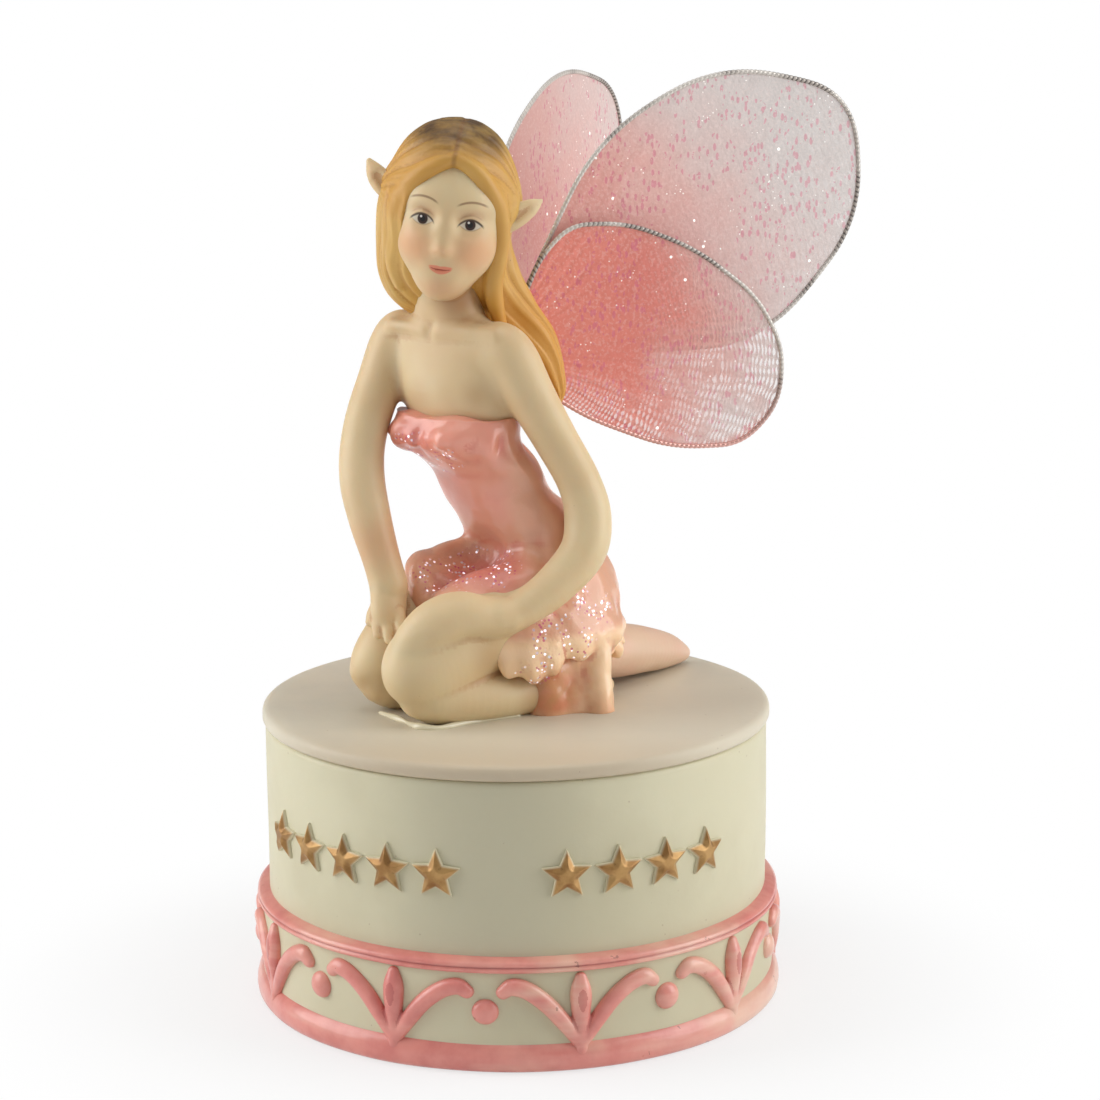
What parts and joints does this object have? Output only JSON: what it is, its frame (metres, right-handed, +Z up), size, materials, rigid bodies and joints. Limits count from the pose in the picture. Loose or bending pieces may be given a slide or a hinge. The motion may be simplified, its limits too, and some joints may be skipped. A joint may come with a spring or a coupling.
{
  "type": "keepsake box",
  "caption": "Round keepsake box for baby teeth; a kneeling figure with wire and gauze wings sits on its lift-off lid.",
  "frame": {"origin": "centre of the tub's flat underside, where it stands on the table", "axes": "+Z up along the tub's axis; the front, with the gap between the two rows of stars, faces -Y; +X to the viewer's right"},
  "size_m": [0.072, 0.0845, 0.109],
  "materials": {
    "cream_resin": "satin cast resin, cream, slightly uneven",
    "lid_resin": "satin cast resin, cream turning to greyish beige",
    "pink_gloss": "glossy coral pink paint, darker in the hollows",
    "antique_gold": "antique gold paint, rubbed",
    "skin_resin": "satin ivory paint",
    "hair_resin": "ochre paint over carved strands",
    "dress_gloss": "glossy coral pink paint with glitter",
    "slipper_resin": "satin pale pink paint",
    "wing_wire": "grey wire wound with thread",
    "wing_gauze": "sheer coral pink gauze with speckles and glitter, paler at the tips"
  },
  "bodies": {
    "box": {"box_body": "cream_resin", "foot_band": "pink_gloss", "upper_band": "pink_gloss", "leaf_sprigs": "pink_gloss", "dot_beads": "pink_gloss", "gold_stars": "antique_gold"},
    "lid": {"lid": "lid_resin", "torso": "skin_resin", "head": "skin_resin", "hair": "hair_resin", "left_ear": "skin_resin", "right_ear": "skin_resin", "left_arm": "skin_resin", "right_arm": "skin_resin", "left_hand": "skin_resin", "right_hand": "skin_resin", "left_leg": "skin_resin", "right_leg": "skin_resin", "bodice": "dress_gloss", "skirt": "dress_gloss", "lap_ruffle": "dress_gloss", "hem_ruffle": "dress_gloss", "hem_drape": "dress_gloss", "slippers": "slipper_resin", "left_wing_peg": "wing_wire", "right_wing_peg": "wing_wire", "left_upper_wing_frame": "wing_wire", "left_upper_wing_gauze": "wing_gauze", "left_lower_wing_frame": "wing_wire", "left_lower_wing_gauze": "wing_gauze", "right_upper_wing_frame": "wing_wire", "right_upper_wing_gauze": "wing_gauze", "right_lower_wing_frame": "wing_wire", "right_lower_wing_gauze": "wing_gauze"}
  },
  "joints": [
    {"name": "lid_lift", "type": "slide", "parent": "box", "child": "lid", "axis": [0, 0, 1], "range_m": [0, 0.06]}
  ]
}
